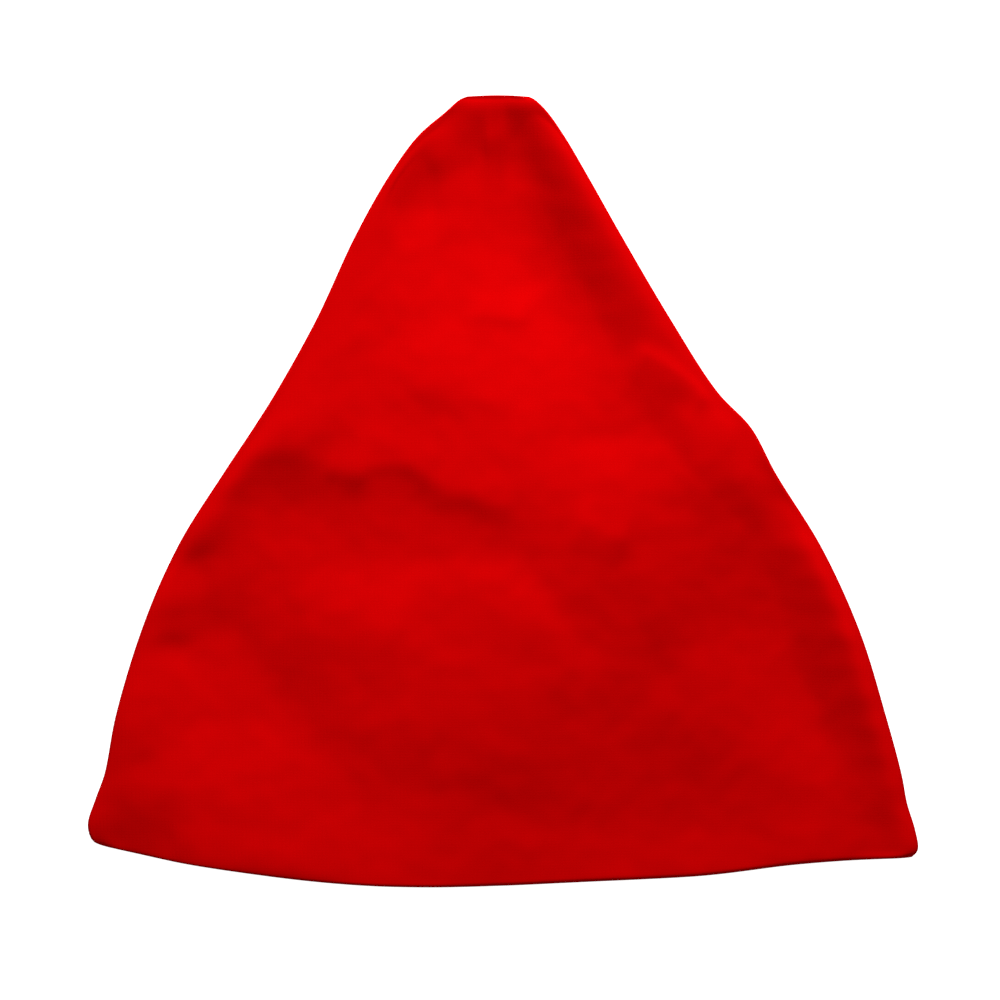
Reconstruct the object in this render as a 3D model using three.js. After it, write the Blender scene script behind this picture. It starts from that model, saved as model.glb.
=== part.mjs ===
// Soft pointed cloth cap lying flat: two jersey panels sewn along the sides and tip, open at the mouth.
// Millimetres. +X runs across the cap, +Y from the mouth to the tip, +Z up from the surface it lies on.
import * as THREE from 'three';
import { ParametricGeometry } from 'three/addons/geometries/ParametricGeometry.js';
import { mergeVertices } from 'three/addons/utils/BufferGeometryUtils.js';

// Cloth and sewing sizes
const CAP_LENGTH = 247.4;
const CLOTH = 1.8;
const SEAM_WALL = { front: 2.6, back: 2.3 };
const HEM_WALL = 2.3;
const SEAM_BAND = 7;
const HEM_BAND = 11;
const BAND_FADE = { from: 0.6, to: 1.4 };
const SEAM_GAP = 0.3;
const SEAM_ROUND = 2.4;
const HEM_ROUND = 1.4;

// How the panels leave the seams: the back one comes down to the surface, the front one swells up
// from a soft roll, and dips in a channel along the right seam
const LIFT_REACH = 30;
const SWELL = { start: 2, left: 10, right: 12, tip: 6, power: 1.5 };
const ROLL_INSET = 5.5;
const CHANNEL = { inset: 19, outer: 9.5, inner: 15 };
const HEM_DROOP = 1.4;
const HEM_DROOP_REACH = 3;
const LIP_REACH = 30;
const FOLD_MARGIN = 7;

// The plan between the side seams, the tip and the mouth edge
const TIP_CROWN = 0.8;
const HEM_CURVE_REACH = 90;
const SEAM_SLANT = 0.9;

// Mesh steps of each panel: around a rounded edge, over the strip beside it, and in all across and along
const ROUND_STEPS = 3;
const FRONT_STEPS = { across: 40, along: 46, strip: 9, stripSteps: 3 };
const BACK_STEPS = { across: 24, along: 30, strip: LIFT_REACH, stripSteps: 5 };
const LONGEST_STRIP = 0.8;

// Ends of each section from the mouth to the tip, up from the lowest point of the mouth edge
const SECTIONS = [
  { leftX: -124.4, leftUp: 11.6, rightX: 128.2, rightUp: 8.6 },
  { leftX: -129.0, leftUp: 13.6, rightX: 130.0, rightUp: 10.8 },
  { leftX: -130.5, leftUp: 18.4, rightX: 129.2, rightUp: 16.8 },
  { leftX: -128.0, leftUp: 26.6, rightX: 126.6, rightUp: 25.4 },
  { leftX: -125.1, leftUp: 34.6, rightX: 124.9, rightUp: 34.4 },
  { leftX: -121.6, leftUp: 52.7, rightX: 120.0, rightUp: 52.7 },
  { leftX: -113.8, leftUp: 79.0, rightX: 111.9, rightUp: 79.0 },
  { leftX: -102.4, leftUp: 105.4, rightX: 99.9, rightUp: 105.4 },
  { leftX: -87.6, leftUp: 129.0, rightX: 85.1, rightUp: 129.0 },
  { leftX: -78.3, leftUp: 143.0, rightX: 77.5, rightUp: 143.0 },
  { leftX: -71.2, leftUp: 154.3, rightX: 66.9, rightUp: 154.3 },
  { leftX: -58.7, leftUp: 176.9, rightX: 52.3, rightUp: 176.9 },
  { leftX: -46.5, leftUp: 203.2, rightX: 36.9, rightUp: 203.2 },
  { leftX: -35.9, leftUp: 222.1, rightX: 26.3, rightUp: 222.1 },
  { leftX: -26.8, leftUp: 234.6, rightX: 19.0, rightUp: 234.6 },
  { leftX: -18.0, leftUp: 242.2, rightX: 13.6, rightUp: 242.2 },
  { leftX: -12.8, leftUp: 246.5, rightX: 9.2, rightUp: 246.6 },
];

// The mouth edge from corner to corner
const HEM_LINE = [
  { x: -124.4, up: 11.6 },
  { x: -98.1, up: 6.4 },
  { x: -60.5, up: 1.7 },
  { x: -27.4, up: 0.0 },
  { x: 24.2, up: 1.1 },
  { x: 61.9, up: 2.7 },
  { x: 91.6, up: 6.1 },
  { x: 128.2, up: 8.6 },
];

// Heights of the cloth at each level: at both seams, and at stations spread evenly from left to right.
// The rolls stand along the seams, and channel is the depth of the dip along the right one.
const STATIONS = ['left', 'outerLeft', 'innerLeft', 'middle', 'innerRight', 'outerRight', 'right'];
const STATION_SHARES = STATIONS.map((name, index) => index / (STATIONS.length - 1));
const LOFT_COLUMNS = ['up', 'leftSeam', 'leftRoll', ...STATIONS, 'rightRoll', 'rightSeam', 'channel'];
const LOFTS = [
  [0, 1.0, 0.5, 4.5, 8.8, 11.9, 11.6, 5.3, 3.4, 1.4, 1.2, 1.4, 1.8],
  [14, 1.5, 0.8, 5.6, 8.5, 11.8, 12.5, 5.5, 4.2, 2.6, 1.5, 1.8, 2.0],
  [26, 2.0, 1.2, 6.3, 7.5, 11.2, 13.2, 6.2, 5.2, 4.2, 2.0, 2.4, 2.8],
  [51, 2.5, 2.0, 5.6, 4.2, 11.4, 14.8, 8.5, 7.6, 6.0, 3.0, 3.5, 5.2],
  [76, 3.0, 1.8, 2.6, 3.9, 10.9, 14.5, 10.6, 9.6, 8.0, 3.2, 4.5, 5.2],
  [102, 3.5, 1.3, 4.0, 4.6, 8.5, 13.3, 12.2, 11.8, 10.0, 2.8, 5.5, 3.6],
  [127, 4.5, 1.1, 6.2, 6.0, 9.5, 12.6, 10.5, 12.0, 11.0, 1.5, 6.5, 0.6],
  [140, 4.8, 0.5, 8.0, 6.8, 9.2, 11.7, 8.7, 10.2, 10.5, 1.4, 7.2, 0.6],
  [152, 4.8, 0.2, 7.2, 6.3, 8.9, 9.9, 7.2, 9.0, 10.2, 1.4, 7.8, 1.2],
  [177, 4.2, 0.1, 4.8, 4.6, 5.5, 5.7, 3.8, 7.6, 10.4, 1.6, 8.5, 2.4],
  [202, 3.5, 0.1, 3.5, 2.3, 2.2, 2.2, 2.1, 5.4, 8.4, 1.6, 7.4, 2.2],
  [227, 3.4, 0.2, 3.8, 2.9, 2.0, 1.9, 2.2, 4.0, 5.8, 1.4, 5.8, 1.0],
  [248, 4.0, 0.3, 4.8, 5.3, 5.4, 5.3, 5.4, 5.4, 5.2, 1.0, 4.4, 0.0],
];

// The fold across the waist from left to right: how far the cloth drops under it, and over what width
const LIP_COLUMNS = ['x', 'up', 'drop', 'width'];
const LIP = [
  [-90, 134, 0.0, 12],
  [-78, 143, 3.0, 12],
  [-66, 141, 2.8, 17],
  [-57, 137, 1.8, 17],
  [-48, 131, 0.9, 10],
  [-36, 133, 0.7, 9],
  [-25, 131, 1.2, 9],
  [-14, 124, 0.8, 8],
  [0, 121, 0.5, 7],
  [18, 117, 0.4, 7],
  [32, 110, 0.5, 9],
  [44, 107, 0.0, 8],
];

// Other folds of the front panel: a ridge where height is positive, a valley where it is negative.
// turn is the way the fold runs, in degrees from +X; above and below are its widths on either side.
const FOLDS = [
  { name: 'belly shoulder', x: 2, up: 88, turn: -40, length: 54, above: 9, below: 16, height: 0.5 },
  { name: 'belly cheek', x: -39, up: 85, turn: 8, length: 30, above: 14, below: 14, height: 1.2 },
  { name: 'belly foot', x: -53, up: 56, turn: -36, length: 92, above: 9, below: 13, height: -0.8 },
  { name: 'right dip', x: 57, up: 80, turn: 12, length: 34, above: 14, below: 12, height: -1.3 },
  { name: 'right ridge', x: 78, up: 44, turn: -24, length: 56, above: 14, below: 18, height: 0.6 },
  { name: 'low dent', x: 4, up: 24, turn: 0, length: 34, above: 10, below: 8, height: -0.7 },
  { name: 'shoulder crease', x: 56, up: 158, turn: -32, length: 26, above: 5, below: 9, height: 1.1 },
  { name: 'high shoulder bump', x: 67, up: 142, turn: -6, length: 24, above: 7, below: 5, height: 0.9 },
  { name: 'low shoulder bump', x: 72, up: 127, turn: -5, length: 36, above: 8, below: 6, height: 1.2 },
  { name: 'tip dent', x: -28, up: 215, turn: -23, length: 18, above: 8, below: 8, height: -1.6 },
  { name: 'corner dent', x: -117, up: 12, turn: -10, length: 24, above: 10, below: 7, height: -2.0 },
];

const JERSEY = { color: 0xb90304, roughness: 0.95, metalness: 0 };

const { lerp, smoothstep } = THREE.MathUtils;
const sideCurve = (side) =>
  new THREE.CatmullRomCurve3(SECTIONS.map((row) => new THREE.Vector3(row[`${side}X`], row[`${side}Up`], 0)));
const leftSide = sideCurve('left');
const rightSide = sideCurve('right');
const hemCurve = new THREE.SplineCurve(HEM_LINE.map((row) => new THREE.Vector2(row.x, row.up)));
const hemLeft = HEM_LINE[0];
const hemRight = HEM_LINE[HEM_LINE.length - 1];

// Values between the rows of a table, each a smooth function of its first column.
function smoothTable(columns, rows) {
  const values = rows.flatMap((row) => row.slice(1));
  const curve = new THREE.CubicInterpolant(rows.map((row) => row[0]), values, columns.length - 1);
  return (at) => Object.fromEntries(curve.evaluate(at).map((value, index) => [columns[index + 1], value]));
}

const loftAt = smoothTable(LOFT_COLUMNS, LOFTS);
const lipAt = smoothTable(LIP_COLUMNS, LIP);

// Distance reached after some steps along a line that starts and ends in a rounded edge and a strip.
function stepDistance(step, count, steps, length) {
  const strip = Math.min(steps.strip, LONGEST_STRIP * length / 2);
  const fromEnd = Math.min(step, count - step);
  const stripSteps = Math.min(Math.max(fromEnd - ROUND_STEPS, 0), steps.stripSteps);
  const bodySteps = Math.max(fromEnd - ROUND_STEPS - steps.stripSteps, 0);
  const turned = Math.min(fromEnd / ROUND_STEPS, 1) * Math.PI / 2;
  const beside = stripSteps * (strip - SEAM_ROUND) / steps.stripSteps;
  const body = bodySteps * (length / 2 - strip) / (count / 2 - ROUND_STEPS - steps.stripSteps);
  const distance = SEAM_ROUND * (1 - Math.cos(turned)) + beside + body;
  return step > count / 2 ? length - distance : distance;
}

// How far the mouth edge lies from the straight line between its corners.
function hemBow(share) {
  const x = lerp(hemLeft.x, hemRight.x, share);
  let low = 0;
  let high = 1;
  while (high - low > 1e-6) {
    const middle = (low + high) / 2;
    if (hemCurve.getPoint(middle).x < x) low = middle;
    else high = middle;
  }
  return hemCurve.getPoint(low).y - lerp(hemLeft.up, hemRight.up, share);
}

// A place on the cap's outline plan, with its distances from the seams, the tip and the mouth.
function placeAt(across, along, steps) {
  const reach = leftSide.getLength();
  const fromHem = stepDistance(along, steps.along, steps, reach);
  const left = leftSide.getPointAt(fromHem / reach);
  const right = rightSide.getPointAt(fromHem / reach);
  const width = right.x - left.x;
  const fromLeft = stepDistance(across, steps.across, steps, width);
  const share = fromLeft / width;
  const curved = hemBow(share) * (1 - smoothstep(fromHem, 0, HEM_CURVE_REACH));
  const crown = TIP_CROWN * Math.sin(Math.PI * share) * smoothstep(fromHem, reach - SEAM_BAND, reach);
  return {
    x: left.x + fromLeft,
    up: lerp(left.y, right.y, share) + curved + crown,
    share,
    fromLeft: fromLeft * SEAM_SLANT,
    fromRight: (width - fromLeft) * SEAM_SLANT,
    fromTip: reach - fromHem,
    fromHem,
  };
}

// Share of the wall's thickness that is left where it rounds off at an edge.
function edgeShare(distance, radius) {
  const inset = 1 - Math.min(distance / radius, 1);
  return Math.sqrt(Math.max(1 - inset * inset, 0));
}

// Distance to the nearest seam: either side or the tip.
function fromSeams(place) {
  return Math.min(place.fromLeft, place.fromRight, place.fromTip);
}

// How fully a place lies in the thicker band along an edge, fading out at the band's inner side.
function bandShare(distance, band) {
  return 1 - smoothstep(distance, band * BAND_FADE.from, band * BAND_FADE.to);
}

// Full thickness of a wall: plain cloth, thicker over the seam allowance and the turned mouth edge.
function fullWall(place, seamWall) {
  const seam = bandShare(fromSeams(place), SEAM_BAND);
  const hem = bandShare(place.fromHem, HEM_BAND);
  return CLOTH + Math.max((seamWall - CLOTH) * seam, (HEM_WALL - CLOTH) * hem);
}

// Share of a wall that is left where its outer face curves round to the seam line.
function seamShare(place) {
  return edgeShare(fromSeams(place), SEAM_ROUND * SEAM_SLANT);
}

// A soft rise that falls from 1 to about a third at one width.
function bell(distance, width) {
  return Math.exp(-((distance / width) ** 2));
}

// Height of the folds at a place: soft ridges that fade out towards their ends, and the drop under the waist.
function foldHeight(place) {
  const lip = lipAt(place.x);
  const underLip = Math.max(lip.up - place.up, 0);
  const drop = lip.drop * (1 - bell(underLip, lip.width)) * bell(underLip, LIP_REACH);
  return FOLDS.reduce((sum, fold) => {
    const turn = THREE.MathUtils.degToRad(fold.turn);
    const dx = place.x - fold.x;
    const dy = place.up - fold.up;
    const along = (dx * Math.cos(turn) + dy * Math.sin(turn)) / (fold.length / 2);
    const across = dy * Math.cos(turn) - dx * Math.sin(turn);
    return sum + fold.height * bell(across, across > 0 ? fold.above : fold.below) * Math.exp(-(along ** 4));
  }, -drop);
}

// How far the seams stand off the surface, blended from the left one to the right one.
function seamLift(place) {
  const { leftSeam, rightSeam } = loftAt(place.up);
  return lerp(leftSeam, rightSeam, smoothstep(place.share, 0, 1));
}

// How fully the front panel has reached its own height at some distance from a seam.
function swellFrom(distance, reach) {
  return 1 - Math.exp(-((Math.max(distance - SWELL.start, 0) / reach) ** SWELL.power));
}

// Height of the soft roll that stands at some distance from a seam.
function rollHeight(distance, height) {
  const share = distance / ROLL_INSET;
  return height * share * Math.exp(1 - share);
}

// Depth of the dip along the right seam, steeper on the seam's side.
function channelDepth(place, depth) {
  const past = place.fromRight - CHANNEL.inset;
  return depth * bell(past, past > 0 ? CHANNEL.inner : CHANNEL.outer);
}

// Lower and upper face of the back panel: flat on the surface, lifting towards its seams.
function backFaces(place) {
  const lift = seamLift(place) * (1 - smoothstep(fromSeams(place), 0, LIFT_REACH));
  const wall = fullWall(place, SEAM_WALL.back);
  return { low: lift + wall * (1 - seamShare(place)), high: lift + wall };
}

// Lower and upper face of the front panel: seated on the back panel's seam, swelling up inside it.
function frontFaces(place) {
  const level = loftAt(place.up);
  const section = new THREE.CubicInterpolant(STATION_SHARES, STATIONS.map((name) => level[name]), 1);
  const [loft] = section.evaluate(place.share);
  const swell = swellFrom(place.fromLeft, SWELL.left) * swellFrom(place.fromRight, SWELL.right)
    * swellFrom(place.fromTip, SWELL.tip);
  const folds = foldHeight(place) * (1 - bell(Math.max(fromSeams(place) - SWELL.start, 0), FOLD_MARGIN));
  const roll = Math.max(rollHeight(place.fromLeft, level.leftRoll), rollHeight(place.fromRight, level.rightRoll));
  const channel = channelDepth(place, level.channel);
  const droop = HEM_DROOP * swell * Math.exp(-place.fromHem / HEM_DROOP_REACH);
  const body = lerp(seamLift(place), loft, swell) + folds + roll - channel - droop;
  const low = Math.max(SEAM_WALL.back + body, backFaces(place).high) + SEAM_GAP;
  return { low, high: low + fullWall(place, SEAM_WALL.front) * seamShare(place) };
}

// A closed cloth wall: the surface runs over the upper face and back under the lower one.
function panel(name, faces, steps) {
  const walk = (u, v, target) => {
    const across = u < 0.5 ? 2 * u : 2 - 2 * u;
    const place = placeAt(across * steps.across, v * steps.along, steps);
    const { low, high } = faces(place);
    const half = (high - low) / 2 * edgeShare(place.fromHem, HEM_ROUND);
    const middle = (low + high) / 2;
    target.set(place.x, place.up - CAP_LENGTH / 2, u < 0.5 ? middle + half : middle - half);
  };
  const surface = new ParametricGeometry(walk, 2 * steps.across, steps.along);
  surface.deleteAttribute('normal');
  surface.deleteAttribute('uv');
  const geometry = mergeVertices(surface);
  geometry.computeVertexNormals();
  const mesh = new THREE.Mesh(geometry, new THREE.MeshStandardMaterial(JERSEY));
  mesh.name = name;
  return mesh;
}

const cap = new THREE.Group();
cap.add(panel('back_panel', backFaces, BACK_STEPS));
cap.add(panel('front_panel', frontFaces, FRONT_STEPS));

export default cap;
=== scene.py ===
"""Looks of a soft red jersey cap: two sewn panels that lie flat, open at the mouth.

Sizes are millimetres on the cap's own plan: x runs across it, and up runs from the lowest point of its
mouth edge to the tip. Meshes are written in metres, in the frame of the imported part.
"""

import logging
import math
from dataclasses import dataclass, field
from enum import Enum
from typing import Any, ClassVar

import bmesh
import bpy
import numpy as np
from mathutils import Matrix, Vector, noise


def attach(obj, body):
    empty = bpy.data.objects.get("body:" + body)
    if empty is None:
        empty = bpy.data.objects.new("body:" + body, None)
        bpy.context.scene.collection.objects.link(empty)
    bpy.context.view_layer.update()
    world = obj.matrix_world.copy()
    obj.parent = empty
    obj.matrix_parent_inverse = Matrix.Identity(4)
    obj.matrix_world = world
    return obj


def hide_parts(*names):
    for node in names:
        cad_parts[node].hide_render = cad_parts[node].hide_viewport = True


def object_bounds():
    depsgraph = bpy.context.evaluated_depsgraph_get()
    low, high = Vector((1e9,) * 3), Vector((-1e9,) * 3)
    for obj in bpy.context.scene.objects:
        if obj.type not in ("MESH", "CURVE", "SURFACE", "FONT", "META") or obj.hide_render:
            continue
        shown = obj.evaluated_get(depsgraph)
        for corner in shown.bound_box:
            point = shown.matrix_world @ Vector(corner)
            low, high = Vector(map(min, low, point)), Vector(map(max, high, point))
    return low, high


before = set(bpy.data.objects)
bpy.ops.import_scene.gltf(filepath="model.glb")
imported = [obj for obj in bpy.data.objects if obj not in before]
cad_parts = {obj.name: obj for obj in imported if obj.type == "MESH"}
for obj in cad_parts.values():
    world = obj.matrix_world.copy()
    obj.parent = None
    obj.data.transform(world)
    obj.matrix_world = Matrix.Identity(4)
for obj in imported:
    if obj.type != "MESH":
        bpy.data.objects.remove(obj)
CAD_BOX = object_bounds()

Array = np.ndarray
LOG = logging.getLogger("cap")
MM = 0.001
CLOTH_LAYER = "cloth"
BLACK = (0.0, 0.0, 0.0, 1.0)
WHITE = (1.0, 1.0, 1.0, 1.0)


class Node(Enum):
    """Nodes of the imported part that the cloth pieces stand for."""

    FRONT = "front_panel"
    BACK = "back_panel"


class Face(Enum):
    """The two faces of a cloth wall, with the way that each one lies from the wall's middle."""

    UPPER = 1.0
    LOWER = -1.0


def smooth_step(at: Array, low: float, high: float) -> Array:
    """Rise smoothly from 0 at low to 1 at high."""
    share = np.clip((at - low) / (high - low), 0.0, 1.0)
    return share * share * (3.0 - 2.0 * share)


def bell(distance: Array, width: float | Array) -> Array:
    """Fall smoothly from 1 at no distance to about a third at one width."""
    return np.exp(-((distance / width) ** 2))


def hermite(values: Array, knots: Array, at: Array) -> Array:
    """Follow a smooth curve through values, and run straight on beyond both ends.

    Args:
        values: One value for each knot; each may be an array that is as large as at.
        knots: Rising places of the values.
        at: Places to read the curve at.

    Returns:
        The curve's value at each place.
    """
    slopes = np.gradient(values, knots, axis=0, edge_order=1)
    step = np.clip(np.searchsorted(knots, at, side="right") - 1, 0, len(knots) - 2)
    gap = knots[step + 1] - knots[step]
    raw = (at - knots[step]) / gap
    part = np.clip(raw, 0.0, 1.0)

    def pick(table: Array, index: Array) -> Array:
        """Take each place's own row of a table."""
        return table[index] if table.ndim == 1 else np.take_along_axis(table, index[None], axis=0)[0]

    start, end = pick(values, step), pick(values, step + 1)
    leave, arrive = pick(slopes, step) * gap, pick(slopes, step + 1) * gap
    inside = start + part * part * (3.0 - 2.0 * part) * (end - start)
    inside = inside + part * (1.0 - part) * ((1.0 - part) * leave - part * arrive)
    return inside + np.minimum(raw, 0.0) * leave + np.maximum(raw - 1.0, 0.0) * arrive


@dataclass
class SmoothLine:
    """A smooth plan line through a few points, read by the distance walked along it."""

    points: tuple[tuple[float, float], ...]
    samples: int = 4000
    places: Array = field(init=False)
    walked: Array = field(init=False)

    def __post_init__(self) -> None:
        """Walk the line once in small steps."""
        points = np.array(self.points)
        gaps = np.sqrt(np.hypot(*np.diff(points, axis=0).T))
        knots = np.concatenate([[0.0], np.cumsum(gaps)])
        at = np.linspace(0.0, knots[-1], self.samples)
        self.places = np.stack([hermite(values, knots, at) for values in points.T], axis=1)
        strides = np.hypot(*np.diff(self.places, axis=0).T)
        self.walked = np.concatenate([[0.0], np.cumsum(strides)])

    @property
    def length(self) -> float:
        """Length of the whole line."""
        return float(self.walked[-1])

    def at(self, share: Array) -> tuple[Array, Array]:
        """Return x and up after a share of the line's length."""
        distance = share * self.length
        return tuple(np.interp(distance, self.walked, values) for values in self.places.T)

    def up_at(self, x: Array) -> Array:
        """Return up where the line passes x, for a line that runs from left to right."""
        return np.interp(x, *self.places.T)


@dataclass(frozen=True)
class SideRow:
    """Where the two side seams lie at one section of the cap."""

    left_x: float
    left_up: float
    right_x: float
    right_up: float


# The side seams, from the mouth corners to the tip
SIDE_ROWS = (
    SideRow(-124.4, 11.6, 128.2, 8.6),
    SideRow(-129.0, 13.6, 130.0, 10.8),
    SideRow(-130.5, 18.4, 129.2, 16.8),
    SideRow(-128.0, 26.6, 126.6, 25.4),
    SideRow(-125.1, 34.6, 124.9, 34.4),
    SideRow(-121.6, 52.7, 120.0, 52.7),
    SideRow(-113.8, 79.0, 111.9, 79.0),
    SideRow(-102.4, 105.4, 99.9, 105.4),
    SideRow(-87.6, 129.0, 85.1, 129.0),
    SideRow(-78.3, 143.0, 77.5, 143.0),
    SideRow(-71.2, 154.3, 66.9, 154.3),
    SideRow(-58.7, 176.9, 52.3, 176.9),
    SideRow(-46.5, 203.2, 36.9, 203.2),
    SideRow(-35.9, 222.1, 26.3, 222.1),
    SideRow(-26.8, 234.6, 19.0, 234.6),
    SideRow(-18.0, 242.2, 13.6, 242.2),
    SideRow(-13.6, 246.0, 9.6, 246.0),
    SideRow(-11.2, 246.9, 8.0, 246.7),
)

# The mouth edge, from the left corner to the right one, as x and up
HEM_LINE = (
    (-124.4, 11.6),
    (-98.1, 6.4),
    (-60.5, 1.7),
    (-27.4, 0.0),
    (24.2, 1.1),
    (61.9, 2.7),
    (91.6, 6.1),
    (128.2, 8.6),
)


@dataclass(frozen=True)
class Place:
    """Points of the cap's plan with their distances from its edges."""

    x: Array
    up: Array
    share: Array
    from_left: Array
    from_right: Array
    from_tip: Array
    from_hem: Array

    @property
    def from_seams(self) -> Array:
        """Distance to the nearest seam: either side or the tip."""
        return np.minimum(np.minimum(self.from_left, self.from_right), self.from_tip)


@dataclass
class CapPlan:
    """The outline that the cap has on the surface it lies on."""

    seam_slant: float = 0.9
    hem_curve_reach: float = 90.0
    tip_crown: float = 0.45
    tip_reach: float = 7.0
    edge_rows: int = 7
    edge_width: float = 4.5
    edge_growth: float = 1.5
    left: SmoothLine = field(init=False)
    right: SmoothLine = field(init=False)
    hem: SmoothLine = field(init=False)

    def __post_init__(self) -> None:
        """Draw the two sides and the mouth edge."""
        self.left = SmoothLine(tuple((row.left_x, row.left_up) for row in SIDE_ROWS))
        self.right = SmoothLine(tuple((row.right_x, row.right_up) for row in SIDE_ROWS))
        self.hem = SmoothLine(HEM_LINE)

    def steps(self, count: int, length: float) -> Array:
        """Divide a length into even steps, with closer ones in a narrow strip at both ends.

        Args:
            count: Steps in all.
            length: The length.

        Returns:
            Shares of the length, from 0 to 1.
        """
        width = self.edge_width / length
        strip = (np.arange(self.edge_rows) / self.edge_rows) ** self.edge_growth * width
        even = np.linspace(width, 1.0 - width, count + 1 - 2 * self.edge_rows)
        return np.concatenate([strip, even, 1.0 - strip[::-1]])

    def hem_bow(self, share: Array) -> Array:
        """Measure how far the mouth edge lies from the straight line between its corners.

        Args:
            share: Places across the mouth, from 0 at the left corner to 1 at the right one.

        Returns:
            The distance at each place, below 0 away from the tip.
        """
        (left_x, left_up), (right_x, right_up) = HEM_LINE[0], HEM_LINE[-1]
        straight = left_up + (right_up - left_up) * share
        return self.hem.up_at(left_x + (right_x - left_x) * share) - straight

    def grid(self, across: int, along: int) -> Place:
        """Spread points over the plan.

        Args:
            across: Steps from the left side to the right one.
            along: Steps from the mouth edge to the tip.

        Returns:
            The points, row by row from the mouth edge.
        """
        reach, mouth = self.left.length, self.hem.length
        upward, sideways = self.steps(along, reach), self.steps(across, mouth)
        along_share, share = np.meshgrid(upward, sideways, indexing="ij")
        left_x, left_up = self.left.at(along_share)
        right_x, right_up = self.right.at(along_share)
        width = right_x - left_x
        from_hem = along_share * reach
        bow = self.hem_bow(share) * (1.0 - smooth_step(from_hem, 0.0, self.hem_curve_reach))
        crown = self.tip_crown * np.sin(math.pi * share)
        crown = crown * smooth_step(from_hem, reach - self.tip_reach, reach)
        return Place(
            x=left_x + width * share,
            up=left_up + (right_up - left_up) * share + bow + crown,
            share=share,
            from_left=width * share * self.seam_slant,
            from_right=width * (1.0 - share) * self.seam_slant,
            from_tip=reach - from_hem,
            from_hem=from_hem,
        )


@dataclass(frozen=True)
class SeamRow:
    """How the side seams lie at one level: their lift off the surface and the roll beside them.

    channel is how deep the cloth dips inside the roll on the right, and inset how far from the seam.
    """

    up: float
    left_lift: float
    left_roll: float
    right_lift: float
    right_roll: float
    channel: float
    inset: float


SEAM_ROWS = (
    SeamRow(0, 1.2, 0.5, 3.8, 1.2, 0.5, 18),
    SeamRow(14, 1.9, 0.8, 4.2, 1.7, 0.6, 18),
    SeamRow(26, 2.8, 1.4, 4.3, 2.0, 1.1, 19),
    SeamRow(51, 3.5, 2.1, 4.1, 3.0, 4.4, 21),
    SeamRow(76, 2.3, 1.9, 4.0, 3.4, 5.1, 22),
    SeamRow(90, 3.3, 1.6, 3.9, 3.4, 4.7, 21),
    SeamRow(102, 2.9, 1.3, 4.1, 3.0, 3.6, 20),
    SeamRow(112, 4.0, 1.2, 4.7, 1.6, 2.5, 20),
    SeamRow(120, 4.2, 1.1, 5.7, 0.6, 1.9, 22),
    SeamRow(127, 4.5, 1.1, 7.0, 0.4, 1.8, 25),
    SeamRow(134, 4.7, 0.8, 7.8, 0.4, 2.0, 28),
    SeamRow(140, 4.8, 0.5, 7.9, 0.5, 2.2, 29),
    SeamRow(152, 4.8, 0.2, 8.1, 0.7, 2.2, 28),
    SeamRow(165, 4.5, 0.1, 8.2, 0.9, 2.8, 24),
    SeamRow(177, 4.2, 0.1, 8.3, 0.8, 2.9, 22),
    SeamRow(202, 3.5, 0.1, 7.7, 0.8, 2.8, 20),
    SeamRow(227, 3.4, 0.2, 6.4, 0.8, 2.4, 16.5),
    SeamRow(248, 4.0, 0.3, 4.6, 0.7, 0.8, 12),
)


@dataclass(frozen=True)
class LoftRow:
    """Height of the cloth at one level, at seven stations from the left seam to the right one."""

    up: float
    left: float
    outer_left: float
    inner_left: float
    middle: float
    inner_right: float
    outer_right: float
    right: float


LOFT_ROWS = (
    LoftRow(0, 4.0, 7.7, 12.9, 10.7, 4.9, 3.4, 0.6),
    LoftRow(14, 6.4, 7.6, 12.3, 12.1, 5.2, 3.7, 1.8),
    LoftRow(26, 7.6, 7.2, 11.5, 13.1, 5.7, 4.4, 3.4),
    LoftRow(51, 5.8, 4.2, 12.1, 14.8, 7.8, 6.9, 6.7),
    LoftRow(76, 1.9, 3.8, 11.1, 14.5, 10.3, 9.1, 8.5),
    LoftRow(102, 2.9, 4.5, 8.5, 13.3, 11.9, 10.8, 9.6),
    LoftRow(115, 4.8, 5.1, 9.0, 13.0, 11.5, 11.7, 9.6),
    LoftRow(127, 7.0, 6.0, 9.5, 12.6, 10.8, 12.4, 10.9),
    LoftRow(140, 9.5, 6.9, 9.2, 11.7, 9.1, 11.5, 11.0),
    LoftRow(152, 7.9, 6.4, 8.9, 9.9, 8.4, 10.3, 10.7),
    LoftRow(165, 6.9, 5.6, 7.7, 7.9, 6.8, 9.6, 11.0),
    LoftRow(177, 5.1, 4.8, 5.5, 5.7, 4.6, 8.4, 10.9),
    LoftRow(190, 4.0, 3.8, 3.5, 3.5, 2.9, 7.3, 10.2),
    LoftRow(202, 3.5, 2.4, 2.2, 2.2, 2.5, 6.2, 9.3),
    LoftRow(214, 3.2, 2.1, 1.8, 2.2, 2.9, 5.4, 7.9),
    LoftRow(227, 3.8, 2.9, 2.2, 2.3, 2.9, 5.2, 7.0),
    LoftRow(236, 4.3, 3.7, 3.5, 3.3, 3.6, 5.3, 6.4),
    LoftRow(248, 4.6, 6.2, 5.8, 4.4, 4.5, 4.8, 5.0),
)


@dataclass(frozen=True)
class LipRow:
    """A point of the fold across the waist: how far the cloth drops below it, and over what width."""

    x: float
    up: float
    drop: float
    width: float


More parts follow.
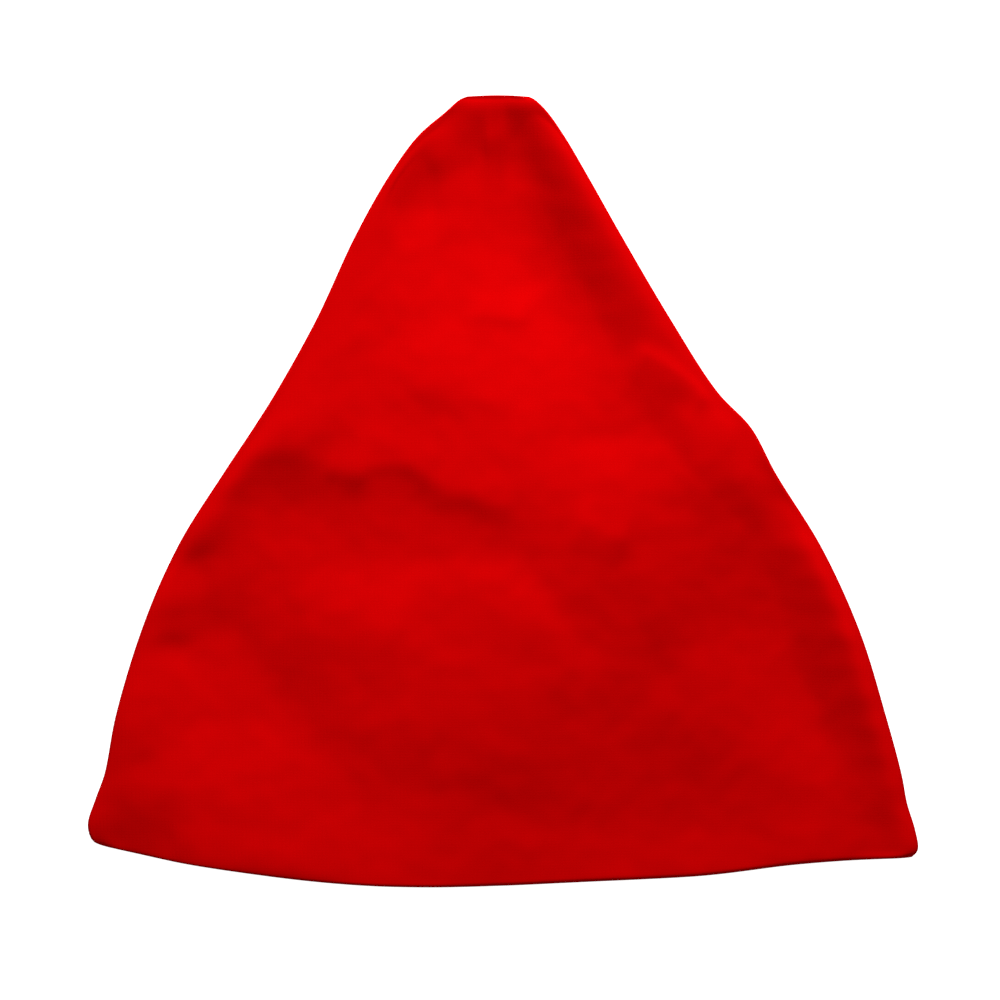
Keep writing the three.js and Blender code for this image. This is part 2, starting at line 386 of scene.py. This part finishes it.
LIP_ROWS = (
    LipRow(-90, 134, 0.0, 12.0),
    LipRow(-78, 143, 3.3, 15.0),
    LipRow(-66, 140, 3.1, 19.0),
    LipRow(-57, 135, 2.0, 18.0),
    LipRow(-48, 131, 0.9, 10.0),
    LipRow(-40, 132, 0.5, 9.0),
    LipRow(-32, 134, 0.9, 9.0),
    LipRow(-25, 131, 1.2, 9.0),
    LipRow(-18, 126, 0.6, 8.0),
    LipRow(-10, 123, 0.9, 7.0),
    LipRow(-2, 121, 0.6, 6.5),
    LipRow(8, 120, 0.4, 6.0),
    LipRow(18, 117, 0.4, 7.0),
    LipRow(28, 112, 0.5, 9.0),
    LipRow(36, 109, 0.5, 9.0),
    LipRow(44, 107, 0.0, 8.0),
)


def column(rows: tuple[Any, ...], key: str, name: str, at: Array) -> Array:
    """Read one column of a table, smoothly between its rows.

    Args:
        rows: The table.
        key: The column that the rows are sorted by.
        name: The column to read.
        at: Places along the key column.

    Returns:
        The column's value at each place.
    """
    knots = np.array([getattr(row, key) for row in rows], float)
    return hermite(np.array([getattr(row, name) for row in rows], float), knots, at)


@dataclass(frozen=True)
class Fold:
    """A soft ridge, or a valley where height is below 0, along a crest line.

    above and below are its widths to the left and right of the way the line runs, fade is how far it
    runs on past both ends, and margin is how far from the seams it rises to its height.
    """

    name: str
    crest: tuple[tuple[float, float], ...]
    above: float
    below: float
    height: float
    fade: float
    margin: float = 6.0

    def rise(self, place: Place) -> Array:
        """Work out the height that the fold adds.

        Args:
            place: Points of the plan.

        Returns:
            The height at each point.
        """
        crest = np.array(self.crest)
        chord = crest[-1] - crest[0]
        length = float(np.hypot(*chord))
        way = chord / length
        aside = np.array([-way[1], way[0]])
        line = crest - crest[0]
        right, up = place.x - crest[0, 0], place.up - crest[0, 1]
        along = right * way[0] + up * way[1]
        off = right * aside[0] + up * aside[1] - hermite(line @ aside, line @ way, along)
        past = np.maximum(np.maximum(-along, along - length), 0.0)
        width = np.where(off > 0.0, self.above, self.below)
        return self.height * bell(off, width) * bell(past, self.fade)


FOLDS = (
    Fold("waist notch", ((-53, 130), (-45, 128)), 5, 4, 0.6, 3),
    Fold("waist bump", ((-44, 131), (-34, 133), (-25, 130)), 8, 5, 0.7, 4),
    Fold("waist ridge", ((-17, 122.5), (-8, 121), (0, 119.5)), 9, 6, 0.6, 4),
    Fold("waist hook", ((26, 113), (36, 109)), 9, 8, 0.8, 4),
    Fold("belly shoulder", ((-22, 95), (-4, 94), (5, 88), (14, 77), (18, 68)), 7, 14, 0.6, 6),
    Fold("belly rim", ((2, 102), (10, 97), (18, 88), (25, 78)), 9, 8, -0.7, 8),
    Fold("belly cheek", ((-60, 84), (-36, 83)), 15, 13, 1.3, 7),
    Fold("belly foot", ((-87, 77), (-72, 61), (-56, 45)), 10, 13, -1.0, 9),
    Fold("right dip", ((51, 69), (59, 74), (68, 79)), 14, 12, -0.8, 8),
    Fold("right ridge", ((56, 54), (72, 49), (86, 42)), 14, 18, 0.4, 10),
    Fold("low dent", ((-7, 24), (15, 24)), 10, 8, -0.7, 6),
    Fold("shoulder crease", ((45, 165), (53, 160), (62, 154.5)), 3.4, 9, 0.9, 4, 3),
    Fold("shoulder bump, high", ((59, 142.5), (70, 141.5)), 8, 10, 0.9, 4, 4),
    Fold("shoulder bump, low", ((61, 129), (67, 126.5), (73, 125), (79, 128)), 7, 15, 0.7, 4, 4),
    Fold("upper dent", ((-6, 179), (5, 178)), 7, 3.6, 0.8, 4),
    Fold("middle dent", ((-20, 155), (-2, 152)), 10, 6, 0.6, 8),
    Fold("tip dent", ((-32, 218.5), (-25, 219.5)), 9, 13, -2.2, 5, 3),
    Fold("tip pleat", ((-4, 233), (-1, 233)), 7, 12, 1.2, 2.5, 4),
    Fold("left pucker, high", ((-105, 99.5), (-96, 98.5)), 7, 7, -0.8, 4, 3),
    Fold("left pucker, middle", ((-111, 75), (-102, 74)), 4, 5, -0.6, 5),
    Fold("left pucker, low", ((-120, 39), (-111, 38)), 5, 7, -0.7, 5),
    Fold("corner dent", ((-125, 14), (-108, 11)), 10, 6, -1.6, 6),
)


@dataclass(frozen=True)
class Drape:
    """How the cloth lies: heights over the surface, worked out from the tables and the folds."""

    stations: ClassVar[tuple[str, ...]] = (
        "left", "outer_left", "inner_left", "middle", "inner_right", "outer_right", "right",
    )
    lift_reach: float = 12.0
    edge_start: float = 2.0
    left_reach: float = 10.0
    right_reach: float = 12.0
    tip_reach: float = 6.0
    swell_power: float = 1.5
    lip_margin: float = 6.0
    channel_outer: float = 10.5
    channel_inner: float = 19.0
    left_inset: float = 5.5
    right_inset: float = 4.6
    tip_inset: float = 5.5
    roll_fullness: float = 1.7
    tip_roll: float = 1.0
    lip_reach: float = 30.0
    pucker_pitch: float = 9.5
    pucker_share: float = 0.02
    second_pucker: float = 0.62
    second_shift: float = 1.3
    ripple_size: float = 11.0
    ripple_height: float = 0.22
    ripple_fade: float = 1.0
    ripple_spread: float = 2.0
    ripple_layers: int = 2
    rest_softness: float = 0.9

    def seam(self, place: Place) -> Array:
        """Return how far the seams stand off the surface, blended from left to right."""
        left, right = (column(SEAM_ROWS, "up", name, place.up) for name in ("left_lift", "right_lift"))
        return left + (right - left) * smooth_step(place.share, 0.0, 1.0)

    def loft(self, place: Place) -> Array:
        """Return the height of the cloth between the seams, without its folds."""
        columns = np.stack([column(LOFT_ROWS, "up", name, place.up) for name in self.stations])
        return hermite(columns, np.linspace(0.0, 1.0, len(self.stations)), place.share)

    def swell(self, place: Place) -> Array:
        """Work out how fully the cloth has risen from the seams.

        Args:
            place: Points of the plan.

        Returns:
            The share at each point, from 0 at a seam to 1.
        """
        full = 1.0
        edges = (
            (place.from_left, self.left_reach),
            (place.from_right, self.right_reach),
            (place.from_tip, self.tip_reach),
        )
        for distance, reach in edges:
            inside = np.maximum(distance - self.edge_start, 0.0) / reach
            full = full * (1.0 - np.exp(-(inside ** self.swell_power)))
        return full

    def ripple(self, place: Place) -> Array:
        """Work out the faint unevenness of soft cloth.

        Args:
            place: Points of the plan.

        Returns:
            The height at each point, above or below 0.
        """
        spots = np.stack([place.x, place.up], axis=-1).reshape(-1, 2) / self.ripple_size
        detail = (self.ripple_fade, self.ripple_spread, self.ripple_layers)
        heights = [noise.fractal(Vector((x, y, 0.0)), *detail) for x, y in spots]
        return self.ripple_height * np.array(heights).reshape(place.x.shape)

    def channel(self, place: Place) -> Array:
        """Work out how deep the cloth dips beside the right seam.

        Args:
            place: Points of the plan.

        Returns:
            The depth at each point.
        """
        past = place.from_right - column(SEAM_ROWS, "up", "inset", place.up)
        dip = bell(past, np.where(past > 0.0, self.channel_inner, self.channel_outer))
        return column(SEAM_ROWS, "up", "channel", place.up) * dip

    def roll(self, place: Place) -> Array:
        """Work out the soft, puckered roll that the seam allowance makes beside the seams.

        Args:
            place: Points of the plan.

        Returns:
            The height at each point.
        """
        turns = 2.0 * math.pi * place.up / self.pucker_pitch
        second = turns * self.second_pucker + self.second_shift
        waves = 1.0 + self.pucker_share * (np.sin(turns) + np.sin(second))
        names = ("left_roll", "right_roll")
        left, right = (column(SEAM_ROWS, "up", name, place.up) * waves for name in names)
        edges = (
            (place.from_left / self.left_inset, left),
            (place.from_right / self.right_inset, right),
            (place.from_tip / self.tip_inset, self.tip_roll),
        )
        full = self.roll_fullness
        rolls = [height * (share * np.exp(1.0 - share)) ** full for share, height in edges]
        return np.max(rolls, axis=0)

    def lip(self, place: Place) -> Array:
        """Work out how far the cloth drops under the fold across the waist.

        Args:
            place: Points of the plan.

        Returns:
            The drop at each point.
        """
        line, drop, width = (column(LIP_ROWS, "x", name, place.x) for name in ("up", "drop", "width"))
        within = (place.x > LIP_ROWS[0].x) & (place.x < LIP_ROWS[-1].x)
        below = np.where(within, np.maximum(line - place.up, 0.0), 0.0)
        return drop * (1.0 - bell(below, width)) * bell(below, self.lip_reach)

    def inner(self, place: Place, margin: float) -> Array:
        """Return how far a point is clear of the seams, from 0 to 1."""
        return 1.0 - bell(np.maximum(place.from_seams - self.edge_start, 0.0), margin)

    def front(self, place: Place) -> Array:
        """Work out the height of the front panel over its seat on the back panel.

        Args:
            place: Points of the plan.

        Returns:
            The height at each point.
        """
        seam = self.seam(place)
        folds = sum(fold.rise(place) * self.inner(place, fold.margin) for fold in FOLDS)
        folds = folds + (self.ripple(place) - self.lip(place)) * self.inner(place, self.lip_margin)
        body = seam + self.swell(place) * (self.loft(place) - seam)
        return body + folds + self.roll(place) - self.channel(place)

    def back(self, place: Place) -> Array:
        """Return how far the back panel lifts off the surface towards its seams."""
        return self.seam(place) * bell(place.from_seams, self.lift_reach)


@dataclass(frozen=True)
class Wall:
    """Thickness of the jersey: plain, over the seam allowance and at the turned mouth edge."""

    cloth: float = 1.8
    back_seam: float = 2.3
    hem: float = 2.3
    right_seam_extra: float = 0.4
    tip_seam_extra: float = 0.4
    seam_band: float = 7.0
    hem_band: float = 11.0
    seam_round: float = 0.8
    hem_round: float = 2.2
    seam_gap: float = 0.2
    band_fade: tuple[float, float] = (0.4, 1.8)

    def band(self, distance: Array, width: float) -> Array:
        """Return how fully a place lies in a band along an edge."""
        fade_from, fade_to = self.band_fade
        return 1.0 - smooth_step(distance, width * fade_from, width * fade_to)

    @staticmethod
    def rounded(distance: Array, radius: float) -> Array:
        """Return the share of the wall that is left where it rounds off at an edge."""
        inset = 1.0 - np.minimum(distance / radius, 1.0)
        return np.sqrt(np.maximum(1.0 - inset * inset, 0.0))

    def hem_extra(self, place: Place) -> Array:
        """Return how much thicker the turned mouth edge is than plain cloth."""
        return (self.hem - self.cloth) * self.band(place.from_hem, self.hem_band)

    def front(self, place: Place) -> Array:
        """Work out the front panel's thickness, with the seam allowance that lies under its edges.

        Args:
            place: Points of the plan.

        Returns:
            The thickness at each point.
        """
        right = self.right_seam_extra * bell(place.from_right, self.seam_band)
        tip = self.tip_seam_extra * bell(place.from_tip, self.seam_band)
        return self.cloth + np.maximum(right + tip, self.hem_extra(place))

    def back(self, place: Place) -> Array:
        """Return the back panel's thickness."""
        seam = (self.back_seam - self.cloth) * self.band(place.from_seams, self.seam_band)
        return self.cloth + np.maximum(seam, self.hem_extra(place))


class Socket:
    """A shader socket that can be written in sums: each operator adds a Math node."""

    def __init__(self, bench: "Bench", socket: bpy.types.NodeSocket) -> None:
        """Keep a socket with the bench that its next nodes go to."""
        self.bench = bench
        self.socket = socket

    def math(self, operation: str, *others: "Socket | float") -> "Socket":
        """Add a Math node whose first value is this socket."""
        return self.bench.math(operation, self, *others)

    def __add__(self, other: "Socket | float") -> "Socket":
        """Add."""
        return self.math("ADD", other)

    def __sub__(self, other: "Socket | float") -> "Socket":
        """Subtract."""
        return self.math("SUBTRACT", other)

    def __rsub__(self, other: float) -> "Socket":
        """Subtract from a number."""
        return self.bench.math("SUBTRACT", other, self)

    def __mul__(self, other: "Socket | float") -> "Socket":
        """Multiply."""
        return self.math("MULTIPLY", other)

    def __truediv__(self, other: "Socket | float") -> "Socket":
        """Divide."""
        return self.math("DIVIDE", other)

    def __rtruediv__(self, other: float) -> "Socket":
        """Divide a number."""
        return self.bench.math("DIVIDE", other, self)

    __radd__ = __add__
    __rmul__ = __mul__


class Bench:
    """A material's node tree, with one way to add any node to it."""

    # Where a Mix node has its colours
    low_colour: ClassVar[int] = 6
    high_colour: ClassVar[int] = 7
    mixed_colour: ClassVar[int] = 2

    def __init__(self, name: str) -> None:
        """Make an empty material.

        Args:
            name: The material's name.
        """
        self.material = bpy.data.materials.new(name)
        self.material.use_nodes = True
        self.tree = self.material.node_tree
        self.tree.nodes.clear()

    def node(self, kind: str, settings: dict[str, Any], sockets: dict[str | int, Any]) -> bpy.types.Node:
        """Add a node.

        Args:
            kind: The node's type.
            settings: Its settings, which are set before its sockets.
            sockets: A value or a link for each named or numbered input.

        Returns:
            The new node.
        """
        node = self.tree.nodes.new(kind)
        for name, value in settings.items():
            setattr(node, name, value)
        for name, value in sockets.items():
            if isinstance(value, Socket):
                self.tree.links.new(value.socket, node.inputs[name])
            else:
                node.inputs[name].default_value = value
        return node

    def out(self, node: bpy.types.Node, name: str | int = 0) -> Socket:
        """Return one of a node's outputs."""
        return Socket(self, node.outputs[name])

    def math(self, operation: str, *values: Socket | float) -> Socket:
        """Add a Math node."""
        return self.out(self.node("ShaderNodeMath", {"operation": operation}, dict(enumerate(values))))

    def noise(self, vector: Socket, scale: float, detail: float) -> Socket:
        """Add a Noise Texture and return its value, about 0.5 on average."""
        sockets = {"Vector": vector, "Scale": scale, "Detail": detail}
        return self.out(self.node("ShaderNodeTexNoise", {}, sockets), "Fac")

    def mix(self, factor: Socket, low: tuple[float, ...], high: tuple[float, ...]) -> Socket:
        """Mix two colours.

        Args:
            factor: The share of the second colour.
            low: The first colour.
            high: The second colour.

        Returns:
            The mixed colour.
        """
        sockets = {"Factor": factor, self.low_colour: low, self.high_colour: high}
        mixed = self.node("ShaderNodeMix", {"data_type": "RGBA"}, sockets)
        return self.out(mixed, self.mixed_colour)


@dataclass(frozen=True)
class JerseyFinish:
    """Fine cotton jersey: columns of small stitches, uneven dye and a soft nap.

    Pitches and depths are millimetres, each noise is a scale and a detail, and each tone says how much
    its pattern moves the colour from shade to light. The knit's tone is painted shade: it darkens the
    colour in the grooves between the stitch columns and lightens it on the stitches.
    """

    name: str
    shade: tuple[float, float, float, float] = (0.470, 0.0002, 0.0004, 1.0)
    light: tuple[float, float, float, float] = (0.560, 0.0004, 0.0010, 1.0)
    nap_tint: tuple[float, float, float, float] = (1.0, 0.02, 0.05, 1.0)
    wale_pitch: float = 1.15
    course_pitch: float = 0.85
    leg_slant: float = 0.5
    loop_sway: float = 0.2
    stitch_share: float = 0.35
    stitch_depth: float = 0.22
    bump_strength: float = 0.12
    nap_height: float = 0.6
    wander_noise: tuple[float, float] = (0.22, 2.0)
    wander_across: float = 1.2
    wander_up: float = 0.8
    dye_noise: tuple[float, float] = (0.09, 3.0)
    nap_noise: tuple[float, float] = (1.7, 3.0)
    dye_tone: float = 0.45
    nap_tone: float = 0.25
    # Painted shade: how far the knit darkens the colour in the grooves between the stitch columns
    groove_shade_tone: float = 0.10
    base_tone: float = 0.08
    nap_weight: float = 0.05
    nap_roughness: float = 0.45
    roughness: float = 0.92
    roughness_spread: float = 0.1
    gloss: float = 0.0

    def stitches(self, across: Socket, up: Socket, side: Socket) -> Socket:
        """Draw the knit: columns of stitches outside, rows of loops inside.

        Args:
            across: Place across the cap, in millimetres.
            up: Place from the mouth towards the tip, in millimetres.
            side: The side that shows, 1 for the outside and -1 for the inside.

        Returns:
            The height of the knit, from 0 to 1.
        """
        turn = 2.0 * math.pi
        wale = across / self.wale_pitch
        course = up / self.course_pitch
        leg = (wale.math("FRACT") - 0.5).math("ABSOLUTE") * 2.0
        rib = 1.0 - leg * leg
        stitch = ((course + leg * self.leg_slant) * turn).math("COSINE") * 0.5 + 0.5
        sway = (wale * turn).math("SINE") * self.loop_sway
        loop = ((course + sway) * math.pi).math("SINE").math("ABSOLUTE")
        outside = rib * (stitch * self.stitch_share + (1.0 - self.stitch_share))
        share = side * 0.5 + 0.5
        return outside * share + loop * (1.0 - share)

    def material(self) -> bpy.types.Material:
        """Make the finish's material from the cloth's own plan layer.

        Returns:
            The material.
        """
        bench = Bench(self.name)
        layer = bench.node("ShaderNodeAttribute", {"attribute_name": CLOTH_LAYER}, {})
        parts = bench.node("ShaderNodeSeparateXYZ", {}, {0: bench.out(layer, "Vector")})
        across, up, side = (bench.out(parts, axis) for axis in "XYZ")
        flat = bench.out(bench.node("ShaderNodeCombineXYZ", {}, {0: across, 1: up}))
        wander = bench.noise(flat, *self.wander_noise) - 0.5
        dye = bench.noise(flat, *self.dye_noise)
        nap = bench.noise(flat, *self.nap_noise)
        knit = self.stitches(across + wander * self.wander_across, up + wander * self.wander_up, side)
        # The knit term paints shade into the colour: darker in the grooves between the stitch columns,
        # lighter on the stitches
        tone = dye * self.dye_tone + nap * self.nap_tone + knit * self.groove_shade_tone + self.base_tone
        colour = bench.mix(tone.math("MINIMUM", 1.0).math("MAXIMUM", 0.0), self.shade, self.light)
        bump = bench.node("ShaderNodeBump", {}, {
            "Strength": self.bump_strength,
            "Distance": self.stitch_depth * MM,
            "Height": knit + nap * self.nap_height,
        })
        shader = bench.node("ShaderNodeBsdfPrincipled", {}, {
            "Base Color": colour,
            "Roughness": nap * self.roughness_spread + (self.roughness - self.roughness_spread / 2.0),
            "Normal": bench.out(bump),
            "Specular IOR Level": self.gloss,
            "Sheen Weight": self.nap_weight,
            "Sheen Roughness": self.nap_roughness,
            "Sheen Tint": self.nap_tint,
        })
        bench.node("ShaderNodeOutputMaterial", {}, {"Surface": bench.out(shader)})
        return bench.material


@dataclass
class ClothPanel:
    """A closed wall of jersey: an upper and a lower face that meet along the seams and the mouth."""

    plan: CapPlan
    drape: Drape
    wall: Wall
    finish: JerseyFinish
    across: int
    along: int
    flat_size: ClassVar[tuple[float, float]] = (0.260, 0.247)
    flat_area: ClassVar[float] = 0.0403
    blank_size: ClassVar[float] = 0.5
    merge_distance: ClassVar[float] = 1e-6
    name: ClassVar[str]
    node: ClassVar[Node]

    def heights(self, place: Place) -> tuple[Array, Array]:
        """Return the lower and the upper face's heights, before the mouth edge is rounded."""
        raise NotImplementedError

    def knit_side(self, face: Face, place: Place) -> Array:
        """Return which side of the knit shows at each point: 1 for the outside, -1 for the inside."""
        raise NotImplementedError

    def lay(self, mesh: bmesh.types.BMesh, face: Face) -> None:
        """Add one face of the wall: a grid that is moved point by point to its place.

        Args:
            mesh: The panel's mesh, which has the cloth layer.
            face: The face to add.
        """
        layer = mesh.verts.layers.float_vector[CLOTH_LAYER]
        known = set(mesh.faces)
        made = bmesh.ops.create_grid(
            mesh, x_segments=self.across, y_segments=self.along, size=self.blank_size,
        )
        place = self.plan.grid(self.across, self.along)
        low, high = self.heights(place)
        middle, half = (low + high) / 2.0, (high - low) / 2.0
        height = middle + face.value * half * self.wall.rounded(place.from_hem, self.wall.hem_round)
        hem_y = CAD_BOX[0].y / MM
        spots = np.stack([place.x, place.up + hem_y, height], axis=-1).reshape(-1, 3) * MM
        knit = np.stack([place.x, place.up, self.knit_side(face, place)], axis=-1).reshape(-1, 3)
        for vert, spot, stitch in zip(made["verts"], spots.tolist(), knit.tolist()):
            vert.co = spot
            vert[layer] = stitch
        if face is Face.LOWER:
            added = [polygon for polygon in mesh.faces if polygon not in known]
            bmesh.ops.reverse_faces(mesh, faces=added)

    def build(self) -> bpy.types.Object:
        """Build the panel's mesh and dress it.

        Returns:
            The finished piece.
        """
        mesh = bmesh.new()
        mesh.verts.layers.float_vector.new(CLOTH_LAYER)
        for face in Face:
            self.lay(mesh, face)
        bmesh.ops.remove_doubles(mesh, verts=mesh.verts, dist=self.merge_distance)
        for polygon in mesh.faces:
            polygon.smooth = True
        data = bpy.data.meshes.new(self.name)
        mesh.to_mesh(data)
        mesh.free()
        data.materials.append(self.finish.material())
        piece = bpy.data.objects.new(self.name, data)
        bpy.context.scene.collection.objects.link(piece)
        return piece

    def join(self, piece: bpy.types.Object, rests_on: list[str]) -> None:
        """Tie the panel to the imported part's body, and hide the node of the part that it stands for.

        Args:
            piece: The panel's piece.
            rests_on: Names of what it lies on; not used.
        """
        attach(piece, "root")
        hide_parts(self.node.value)


@dataclass
class BackPanel(ClothPanel):
    """The panel that lies on the surface and lifts a little towards its seams."""

    across: int = 150
    along: int = 140
    name: ClassVar[str] = "back_cloth"
    node: ClassVar[Node] = Node.BACK

    def heights(self, place: Place) -> tuple[Array, Array]:
        """Place both faces: the outer one curves up to the seam line.

        Args:
            place: Points of the plan.

        Returns:
            The heights of the lower and the upper face.
        """
        lift = self.drape.back(place)
        thick = self.wall.back(place)
        shown = self.wall.rounded(place.from_seams, self.wall.seam_round)
        return lift + thick * (1.0 - shown), lift + thick

    def knit_side(self, face: Face, place: Place) -> Array:
        """Return 1 below, and -1 above, inside the cap."""
        return -face.value * np.ones_like(place.x)


@dataclass
class FrontPanel(ClothPanel):
    """The panel on top, which swells up between its seams and holds the folds."""

    across: int = 230
    along: int = 205
    name: ClassVar[str] = "front_cloth"
    node: ClassVar[Node] = Node.FRONT

    def heights(self, place: Place) -> tuple[Array, Array]:
        """Place both faces: seated on the back panel's seam, and clear of that panel everywhere.

        Args:
            place: Points of the plan.

        Returns:
            The heights of the lower and the upper face.
        """
        seat = self.wall.back_seam + self.wall.seam_gap
        floor = self.drape.back(place) + self.wall.back(place) + self.wall.seam_gap
        clear = seat + self.drape.front(place) - floor
        soft = self.drape.rest_softness * self.drape.inner(place, self.drape.lip_margin)
        low = floor + (clear + np.hypot(clear, soft)) / 2.0
        shown = self.wall.rounded(place.from_seams, self.wall.seam_round)
        return low, low + self.wall.front(place) * shown

    def knit_side(self, face: Face, place: Place) -> Array:
        """Return 1 above, and -1 below, inside the cap."""
        return face.value * np.ones_like(place.x)


@dataclass(frozen=True)
class Studio:
    """A pale floor, a soft main light, an even white surround and a camera straight above, in metres."""

    floor_size: float = 40.0
    floor_drop: float = 0.00005
    floor_tone: float = 0.65
    floor_roughness: float = 0.9
    floor_glow: float = 1.0
    key_place: tuple[float, float, float] = (0.06, 1.12, 0.65)
    key_size: float = 0.35
    key_power: float = 29.0
    surround: float = 0.22
    camera_height: float = 1.206
    camera_x: float = -0.00103
    camera_y: float = -0.00327
    view_width: float = 0.31363
    view_level: float = 0.006
    sensor: float = 36.0

    def floor(self) -> None:
        """Lay the floor."""
        bench = Bench("pale_floor")
        seen = bench.out(bench.node("ShaderNodeLightPath", {}, {}), "Is Camera Ray")
        glow = bench.mix(seen, BLACK, WHITE)
        shader = bench.node("ShaderNodeBsdfPrincipled", {}, {
            "Base Color": (self.floor_tone, self.floor_tone, self.floor_tone, 1.0),
            "Roughness": self.floor_roughness,
            "Specular IOR Level": 0.0,
            "Emission Color": glow,
            "Emission Strength": self.floor_glow,
        })
        bench.node("ShaderNodeOutputMaterial", {}, {"Surface": bench.out(shader)})
        mesh = bmesh.new()
        bmesh.ops.create_grid(mesh, x_segments=1, y_segments=1, size=self.floor_size / 2.0)
        bmesh.ops.translate(mesh, verts=mesh.verts, vec=(0.0, 0.0, -self.floor_drop))
        data = bpy.data.meshes.new("floor")
        mesh.to_mesh(data)
        mesh.free()
        data.materials.append(bench.material)
        floor = bpy.data.objects.new("floor", data)
        bpy.context.scene.collection.objects.link(floor)

    def lights(self) -> None:
        """Set the main light and the surround."""
        lamp = bpy.data.lights.new("main_light", "AREA")
        lamp.shape = "DISK"
        lamp.size = self.key_size
        lamp.energy = self.key_power
        light = bpy.data.objects.new("main_light", lamp)
        light.location = self.key_place
        light.rotation_euler = Vector(self.key_place).to_track_quat("Z", "Y").to_euler()
        bpy.context.scene.collection.objects.link(light)
        world = bpy.data.worlds.new("white_surround")
        world.use_nodes = True
        backdrop = world.node_tree.nodes["Background"]
        backdrop.inputs["Color"].default_value = WHITE
        backdrop.inputs["Strength"].default_value = self.surround
        bpy.context.scene.world = world

    def camera(self) -> None:
        """Set the camera straight above the cap, and plain tones for the picture."""
        lens = bpy.data.cameras.new("camera")
        lens.sensor_width = self.sensor
        lens.lens = self.sensor * (self.camera_height - self.view_level) / self.view_width
        camera = bpy.data.objects.new("camera", lens)
        camera.location = (self.camera_x, self.camera_y, self.camera_height)
        bpy.context.scene.collection.objects.link(camera)
        bpy.context.scene.camera = camera
        bpy.context.scene.view_settings.view_transform = "Standard"

    def build(self) -> None:
        """Set up the whole studio."""
        self.camera()
        self.lights()
        self.floor()


def main() -> None:
    """Build the studio and the two panels."""
    logging.basicConfig(level=logging.INFO, format="%(name)s: %(message)s")
    Studio().build()
    shared = {"plan": CapPlan(), "drape": Drape(), "wall": Wall()}
    back = BackPanel(finish=JerseyFinish("back_jersey"), **shared)
    front = FrontPanel(finish=JerseyFinish("front_jersey"), **shared)
    under = back.build()
    back.join(under, rests_on=["floor"])
    over = front.build()
    front.join(over, rests_on=[under.name])
    for piece in (under, over):
        LOG.info("%s has %d faces", piece.name, len(piece.data.polygons))


if __name__ == "__main__":
    main()
